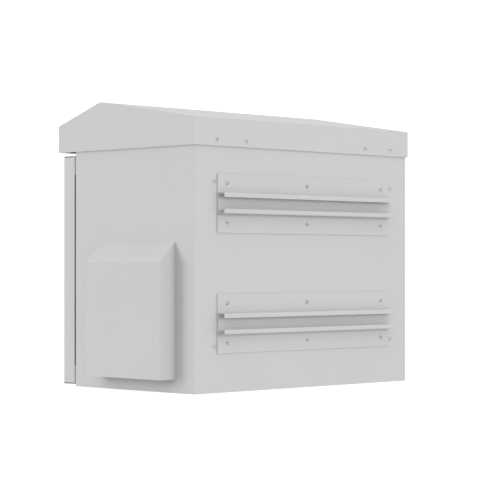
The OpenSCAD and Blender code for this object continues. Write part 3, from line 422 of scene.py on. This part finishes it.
# Rain hoods: folded sheet boxes with a sloping top and an open bottom, one over each air vent.
# Powder coated; their inner flanges are screwed on from inside the cabinet.
for hood in ("intake_hood", "exhaust_hood"):
    eased(hood, powder_coat, edge=0.7)
m5_head = (4.6, 2.8, 2.5)
hood_screw_in, hood_screw_up = 11, (30, 261)
hood_low, hood_high = box_mm("intake_hood")
wall_inside = box_mm("floor_panel")[1][0]
hood_places = [(wall_inside, y, hood_low[2] + up)
               for y in (hood_low[1] + hood_screw_in, hood_high[1] - hood_screw_in)
               for up in hood_screw_up]
fit_screws("intake_hood_screws", m5_head, (-1, 0, 0), hood_places, bright_zinc)
fit_screws("exhaust_hood_screws", m5_head, (1, 0, 0), [(-x, y, z) for x, y, z in hood_places],
           bright_zinc)

# Louvre panels: galvanised sheet with nine slots, and a blade pressed out over each that slopes
# down and out. One stands inside each side wall, behind the hood.
for louvre in ("intake_louvre", "exhaust_louvre"):
    eased(louvre, galvanised, edge=0.3)

# Intake filter: a pad of white polyester fleece held on the louvre panel by a moulded frame.
# The fleece is soft, so its faces wander; the frame is matt black ABS.
# Polyester fleece: white and matt, with a soft sheen. Its fibres are 0.03 mm thick, and drawn as
# tufts 1.4 mm across, so that they show.
fleece, fleece_shader = mottled(
    "polyester_fleece", 1.4, "#cfcec6", "#f4f3ec", bump=(0.6, 1.5), detail=6.0, fuzz=0.75)
fleece_shader.inputs["Roughness"].default_value = 0.95
fleece_shader.inputs["Sheen Weight"].default_value = 0.4


def fleece_pad(middle, half, count):
    """Two faces and a rim, over u and v from -1 to 1. A face stands off the middle plane by half
    the thickness times (0.55 + 0.45 edge), less 0.4 mm times (1 + wander) times edge. The edge is
    the root of 8 times the distance from the border, 1 at most. The wander is half the sine of
    7 u + 2 sin 5 v, times the cosine of 6 v - 1.5 u."""
    u, v = np.meshgrid(np.linspace(-1, 1, count), np.linspace(-1, 1, count), indexing="ij")
    wander = 0.5 * np.sin(7 * u + 2 * np.sin(5 * v)) * np.cos(6 * v - 1.5 * u)
    edge = np.clip(8 * (1 - np.maximum(abs(u), abs(v))), 0, 1) ** 0.5
    off = half[0] * (0.55 + 0.45 * edge) - 0.4 * (1 + wander) * edge
    faces = [np.stack([middle[0] + side * off, middle[1] + half[1] * u, middle[2] + half[2] * v], -1)
             for side in (-1, 1)]
    step = np.arange(count - 1)
    first, last = 0 * step, 0 * step + count - 1
    row = np.concatenate([step, last, last - step, first])
    column = np.concatenate([first, step, last, last - step])
    rim = np.stack([face[row, column] for face in faces])
    return [(face, False, False) for face in faces] + [(rim, False, True)]


mat_low, mat_high = box_mm("filter_mat")
mat_clearance = np.array([0.1, 0.2, 0.2])
mat_middle, mat_half = (mat_low + mat_high) / 2, (mat_high - mat_low) / 2 - mat_clearance
mat_sheets = fleece_pad(mat_middle, mat_half, count=61)
mat_piece = add_piece("filter_fleece_pad", mat_sheets, fleece, smooth=60)
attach(mat_piece, "cabinet")
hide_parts("filter_mat")

# Moulded ABS: near black, with broken highlights. Its spark-eroded texture is 0.5 mm across, and
# drawn at 1.2 mm, so that it shows.
black_plastic, _ = mottled("matt_black_moulded_plastic", 1.2, "#1d1e1f", "#2b2c2d",
                           gloss=(0.46, 0.62), bump=(0.15, 0.3))
eased("filter_frame", black_plastic, edge=0.5)

# Fan: an axial fan on the exhaust louvre. Moulded black housing and rotor, steel wire guard on
# the inner face, long screws through the corners.
eased("fan_housing", black_plastic, edge=0.5)


def fan_blade(root_r, tip_r, chord, camber, thick, root_pitch, tip_pitch, middle):
    """One blade as points[radius, section, xyz] about +Z: a closed section, half the chord times
    the cosine along, and half the thickness times the sine and times 1.15 - 0.35 cosine through, on
    a parabolic camber line. It is carried outward while it widens from 0.8 of the chord and its
    pitch, in degrees, unwinds; the last row collapses on the camber line and closes the tip."""
    rows, section_points = 15, 40
    span = np.linspace(0, 1, rows)[:, None]
    radius = root_r + (tip_r - root_r) * span
    around = np.linspace(0, 2 * np.pi, section_points, endpoint=False)[None]
    along = np.cos(around)
    half = chord / 2 * (0.80 + 0.20 * span)
    through = thick / 2 * np.sin(around) * (1.15 - along * 0.35) * (span < 1)
    lift = camber * (1 - along ** 2) + through
    pitch = np.radians(root_pitch + (tip_pitch - root_pitch) * span)
    across = half * along * np.cos(pitch) - lift * np.sin(pitch)
    up = half * along * np.sin(pitch) + lift * np.cos(pitch)
    angle = across / radius
    return np.stack([radius * np.cos(angle), radius * np.sin(angle), middle + up], -1)


blade_count, hub_steps = 7, 64
blade = fan_blade(root_r=31.0, tip_r=76.8, chord=46.0, camber=5.0, thick=2.4, root_pitch=40.0,
                  tip_pitch=27.0, middle=16.5)
# the hub's profile as (radius, level): shaft hole, outer end, wall, rounded inner end with a dimple
hub_profile = np.array([
    (0, 30), (4.1, 30), (4.1, 0), (29.5, 0), (31.5, 0.6), (32, 2), (32, 28), (31.4, 30.2),
    (30.2, 31.8), (28.4, 32.7), (26, 33), (8, 33), (6.5, 32.2), (0, 32.2)])
hub = turned(np.outer(hub_profile[:, 0], np.ones(hub_steps)), hub_profile[:, 1])
blade_turns = [np.array([[math.cos(a), math.sin(a), 0], [-math.sin(a), math.cos(a), 0], [0, 0, 1]])
               for a in np.arange(blade_count) * 2 * np.pi / blade_count]
vent_middle = box_mm("exhaust_louvre").mean(0)
fan_axes = np.array([[0, 0, -1.0], [0, 1.0, 0], [1.0, 0, 0]])
fan_start = np.array([box_mm("fan_rotor")[0][0], vent_middle[1], vent_middle[2]])
rotor_grids = [blade @ turn for turn in blade_turns] + [hub]
rotor = add_piece("fan_rotor_moulded", [
    (grid @ fan_axes + fan_start, False, True) for grid in rotor_grids], black_plastic, smooth=40)
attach(rotor, "fan")
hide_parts("fan_rotor")


def dress(node, material):
    """Gives a CAD node that keeps its own shape its finish."""
    mesh = frame["nodes"][node].data
    mesh.materials.clear()
    mesh.materials.append(material)


dress("fan_guard", bright_zinc)
fan_screw_at = 76
guard_face = box_mm("fan_guard")[1][0]
fan_corners = [(guard_face, vent_middle[1] + y, vent_middle[2] + z)
               for y in (-fan_screw_at, fan_screw_at) for z in (-fan_screw_at, fan_screw_at)]
fit_screws("fan_screws", m5_head, (1, 0, 0), fan_corners, bright_zinc)

# Cable entry: a galvanised gland plate over the opening in the floor, with six screws and four
# closed rubber grommets that are cut to fit a cable.
eased("gland_plate", galvanised, edge=0.3)
gland_screw_in = 10
gland_low, gland_high = box_mm("gland_plate")
gland_x, gland_y, _ = (gland_low + gland_high) / 2
gland_places = [(x, y, gland_high[2])
                for x in (gland_low[0] + gland_screw_in, gland_x, gland_high[0] - gland_screw_in)
                for y in (gland_low[1] + gland_screw_in, gland_high[1] - gland_screw_in)]
fit_screws("gland_plate_screws", m5_head, (0, 0, 1), gland_places, bright_zinc)

# EPDM rubber: matt, near black, with a faint bloom in patches 6 mm across.
rubber, rubber_shader = mottled("black_epdm_rubber", 6, "#1b1b1b", "#2a2a29", detail=4.0)
rubber_shader.inputs["Roughness"].default_value = 0.82

grommet_pitch, grommet_count, grommet_steps = 85, 4, 56
# one grommet's profile as (radius, level): lower lip, groove on the plate, upper lip, two steps
# of the cone, and down inside it to the closed skin
grommet_profile = np.array([
    (0, 0.5), (23.4, 0.5), (24, 0.9), (24, 2), (20, 2), (20, 4), (23.4, 4), (24, 4.4), (24, 5.4),
    (23.2, 6), (17.6, 6), (17, 6.4), (14.4, 13.4), (13.8, 14), (12.8, 14), (12.2, 14.4),
    (11.2, 21.4), (10.6, 22), (8.6, 22), (8, 21.6), (8, 6.4), (7.4, 6), (0, 6)])
grommet = turned(np.outer(grommet_profile[:, 0], np.ones(grommet_steps)), grommet_profile[:, 1])
grommet_x = (np.arange(grommet_count) - (grommet_count - 1) / 2) * grommet_pitch
grommets = add_piece("cable_grommet_set", [
    (grommet + np.array([x, gland_y, 0.0]), False, True) for x in grommet_x], rubber, smooth=50)
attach(grommets, "cabinet")
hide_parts("cable_grommets")

# Earth bar: drawn brass bar with seven clamp screws, for the earth wires of what is mounted
# inside. It stands on two zinc-plated posts on the back wall, below the equipment plate.
# Drawn brass: warm yellow, with fine draw lines along X that stretch its highlights. They are
# 0.625 mm wide and some 83 mm long, given here as lines per metre.
draw_lines = (12.0, 1600.0, 1600.0)
brass, brassy, brass_shader = new_finish("drawn_brass")
brass_at = add_node(brassy, "ShaderNodeMapping", {
    "Vector": add_node(brassy, "ShaderNodeTexCoord").outputs["Object"], "Scale": draw_lines})
brass_lines = add_node(brassy, "ShaderNodeTexNoise", {
    "Vector": brass_at.outputs["Vector"], "Scale": 1.0, "Detail": 2.0})
brass_tone = add_node(brassy, "ShaderNodeMix", {
    "Factor": brass_lines.outputs["Fac"],
    colour_a: linear("#b5933f"), colour_b: linear("#d9ba68")}, data_type="RGBA")
brass_gloss = add_node(brassy, "ShaderNodeMapRange", {
    "Value": brass_lines.outputs["Fac"], "To Min": 0.22, "To Max": 0.40})
brass_shader.inputs["Metallic"].default_value = 1.0
brassy.links.new(brass_tone.outputs[colour_out], brass_shader.inputs["Base Color"])
brassy.links.new(brass_gloss.outputs["Result"], brass_shader.inputs["Roughness"])
eased("earth_bar", brass, edge=0.5)
eased("earth_posts", bright_zinc, edge=0.3)
earth_pitch, earth_count = 30, 7
earth_face, earth_z = box_mm("earth_bar")[0][1], box_mm("earth_bar").mean(0)[2]
earth_x = (np.arange(earth_count) - (earth_count - 1) / 2) * earth_pitch
fit_screws("earth_screws", m6_head, (0, -1, 0), [(x, earth_face, earth_z) for x in earth_x],
           brass)

# Hinge: continuous piano hinge of thin rolled steel strip, one leaf on the front frame and one on
# the door, on a drawn pin. Black zinc, in a notch flush with the side.
# Black-zinc plating: thin and dark, clouded by patches 2 mm across, with the steel's own gloss.
dark_steel, dark_shader = mottled(
    "black_zinc_steel", 2.0, "#1c1d1e", "#303133", gloss=(0.32, 0.48))
dark_shader.inputs["Metallic"].default_value = 1.0
for leaf in ("hinge_body_leaf", "hinge_door_leaf", "hinge_pin"):
    dress(leaf, dark_steel)

# Door: a folded pan with deep returns and an inner flange, powder coated like the body. Two hat
# sections on the inside of its skin stiffen it; a rubber gasket seals it on the front frame.
eased("door_pan", powder_coat, edge=0.5)
for hat in ("lock_stiffener", "hinge_stiffener"):
    eased(hat, powder_coat, edge=0.3)


def gasket_strip(low, high, half_width):
    """A D section carried round the four corners of a box, as points[section, corner, xyz]. It
    goes out by half the width times the cosine to the power 0.6, and deep by half the depth times
    the sine to the power 0.25 on the flat side on the door and 0.8 on the bowed side."""
    steps = 32
    turn = np.linspace(0, 2 * np.pi, steps, endpoint=False)
    middle, half = (low + high) / 2, (high - low) / 2
    out = half_width * (np.sign(np.cos(turn)) * abs(np.cos(turn)) ** 0.6 - 1)
    bow = abs(np.sin(turn))
    deep = half[1] * np.where(np.sin(turn) < 0, -bow ** 0.25, bow ** 0.8)
    x = middle[0] + np.array([1, 1, -1, -1]) * (half[0] + out[:, None])
    z = middle[2] + np.array([1, -1, -1, 1]) * (half[2] + out[:, None])
    return np.stack([x, np.outer(middle[1] + deep, np.ones(4)), z], -1)


seal_half_width = 6.0
seal_grid = gasket_strip(*box_mm("door_gasket"), seal_half_width)
seal = add_piece("door_gasket_strip", [(seal_grid, True, True)], rubber, smooth=50)
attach(seal, "door")
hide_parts("door_gasket")

# Handle: an L lever of die-cast zinc, coated black, turning in a round rose on the door skin.
# Its crowned front and soft edges come from the mould; the hub has a well for the key insert.
# Coated casting: near black and satin, with the casting's grain, 1.6 mm across, under the coat.
black_casting, _ = mottled("black_coated_casting", 1.6, "#202123", "#2c2d2f",
                           gloss=(0.34, 0.48), bump=(0.10, 0.3))
eased("handle_rose", black_casting, edge=1.2)


def tapered_outline(hub_r, tip_r, span, arc_points, line_points):
    """Outline of the lever as points[n, 2]: a half circle round the tip, a straight line back to
    the hub, a half circle round the hub and a straight line out again."""
    arc = np.linspace(-np.pi / 2, np.pi / 2, arc_points)
    line = np.linspace(0, 1, line_points + 2)[1:-1]
    tip = np.stack([span + tip_r * np.cos(arc), tip_r * np.sin(arc)], -1)
    hub_end = np.stack([-hub_r * np.cos(arc), -hub_r * np.sin(arc)], -1)
    back = np.stack([span * (1 - line), tip_r + (hub_r - tip_r) * line], -1)
    out = np.stack([span * line, -hub_r + (hub_r - tip_r) * line], -1)
    return np.concatenate([tip, back, hub_end, out])


def cast_lever(hub_r, tip_r, span, thick, crown_r, wall, well_r, well, neck_r, neck, journal_r,
               journal):
    """The lever as points[ring, outline, (along, across, forward)]. Rings run from the round well
    in the hub out to the tapered outline; there the front is a cylinder of the crown's radius, and
    its height over the wall is multiplied by (1 - q ** 6) ** 0.5, with q the distance from the
    middle line over the half width. Then they go down the wall, in along the flat back, and along
    the neck to the journal's end."""
    top_rings, well_round, lip_round, neck_chamfer = 30, 0.1, 0.15, 0.6
    back_round = ((0, 2.0), (0.1, 1.0), (0.45, 0.35), (1.2, 0.0))  # inset and height of each ring
    edge = tapered_outline(hub_r, tip_r, span, arc_points=29, line_points=26)
    ray = edge / np.linalg.norm(edge, axis=1, keepdims=True)
    middle = np.stack([np.clip(edge[:, 0], 0, span), 0 * edge[:, 0]], -1)
    width = np.linalg.norm(edge - middle, axis=1, keepdims=True)

    def crown(place):
        along = np.clip(place[..., 0], 0, span)
        off = np.hypot(place[..., 0] - along, place[..., 1])
        share = np.clip(off / (hub_r - (hub_r - tip_r) * along / span), 0, 1)
        front = thick - crown_r + np.sqrt(crown_r ** 2 - place[..., 1] ** 2)
        return wall + (front - wall) * (1 - share ** 6) ** 0.5

    lip = (well_r + lip_round) * ray
    top = lip + (edge - lip) * np.sin(np.linspace(0, np.pi / 2, top_rings))[:, None, None]
    back = [middle + (edge - middle) * (1 - inset / width) for inset, _ in back_round]
    rings = [0 * ray, (well_r - well_round) * ray, well_r * ray, well_r * ray, *top, *back,
             neck_r * ray, neck_r * ray, (neck_r - neck_chamfer) * ray, journal_r * ray,
             journal_r * ray, 0 * ray]
    floor_z = thick - well
    one = np.ones(len(edge))
    rise = [floor_z * one, floor_z * one, (floor_z + well_round) * one,
            crown(well_r * ray) - lip_round, *crown(top), *(z * one for _, z in back_round),
            0 * one, (neck_chamfer - neck) * one, -neck * one, -neck * one, -journal * one,
            -journal * one]
    return np.concatenate([np.array(rings), np.array(rise)[:, :, None]], -1)


lever_hub_r, lever_tip_r, lever_l, lever_crown = 15, 10.8, 120, 3
spindle_low, spindle_high = box_mm("spindle")
spindle_x, _, spindle_z = (spindle_low + spindle_high) / 2
lock_at = np.array([spindle_x, spindle_low[1], spindle_z])
lever_axes = np.array([[1.0, 0, 0], [0, 0, 1.0], [0, -1.0, 0]])
lever_grid = cast_lever(
    lever_hub_r, lever_tip_r, span=lever_l - lever_tip_r, thick=13,
    crown_r=(lever_hub_r ** 2 + lever_crown ** 2) / (2 * lever_crown), wall=8.6, well_r=9, well=3,
    neck_r=13.5, neck=24.6, journal_r=11, journal=33)
lever = add_piece("handle_lever_cast", [(lever_grid @ lever_axes + lock_at, False, True)],
                  black_casting, smooth=40)
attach(lever, "handle")
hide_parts("handle_lever")

# Key insert: a turned zinc plug in the well of the hub, with a triangular pin for the usual
# service key standing in a round recess.
insert_steps, pin_flat, pin_chamfer = 72, 2.3, 0.92
# the plug as (radius, height over the lever's back): floor, chamfered rim and recess, and then
# the pin's heights from the recess to its chamfered top
plug_profile = np.array([
    (0, 10.0), (8.8, 10.0), (8.8, 11.9), (8.5, 12.2), (6.7, 12.2), (6.5, 12.0), (6.5, 10.8)])
pin_level = [10.8, 12.0, 12.2, 12.2]
pin = many_sided(pin_flat, sides=3, steps=insert_steps)
insert_grid = turned(
    np.concatenate([np.outer(plug_profile[:, 0], np.ones(insert_steps)),
                    [pin, pin, pin_chamfer * pin, 0 * pin]]),
    np.concatenate([plug_profile[:, 1], pin_level]))
key_insert = add_piece("key_insert_turned", [(insert_grid @ lever_axes + lock_at, False, True)],
                       bright_zinc, smooth=40)
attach(key_insert, "handle")
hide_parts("key_insert")

# Rod lock: a square spindle turns a pinion between two racks, which drive one rod up and one
# down behind the frame. Cut steel in a zinc case on the stiffener, with a guide near each rod end.
for steel in ("spindle", "pinion"):
    dress(steel, dark_steel)
for fitting in ("gear_case", "gear_cover", "upper_lock_rod", "lower_lock_rod",
                "upper_rod_guide", "lower_rod_guide"):
    eased(fitting, bright_zinc, edge=0.25)
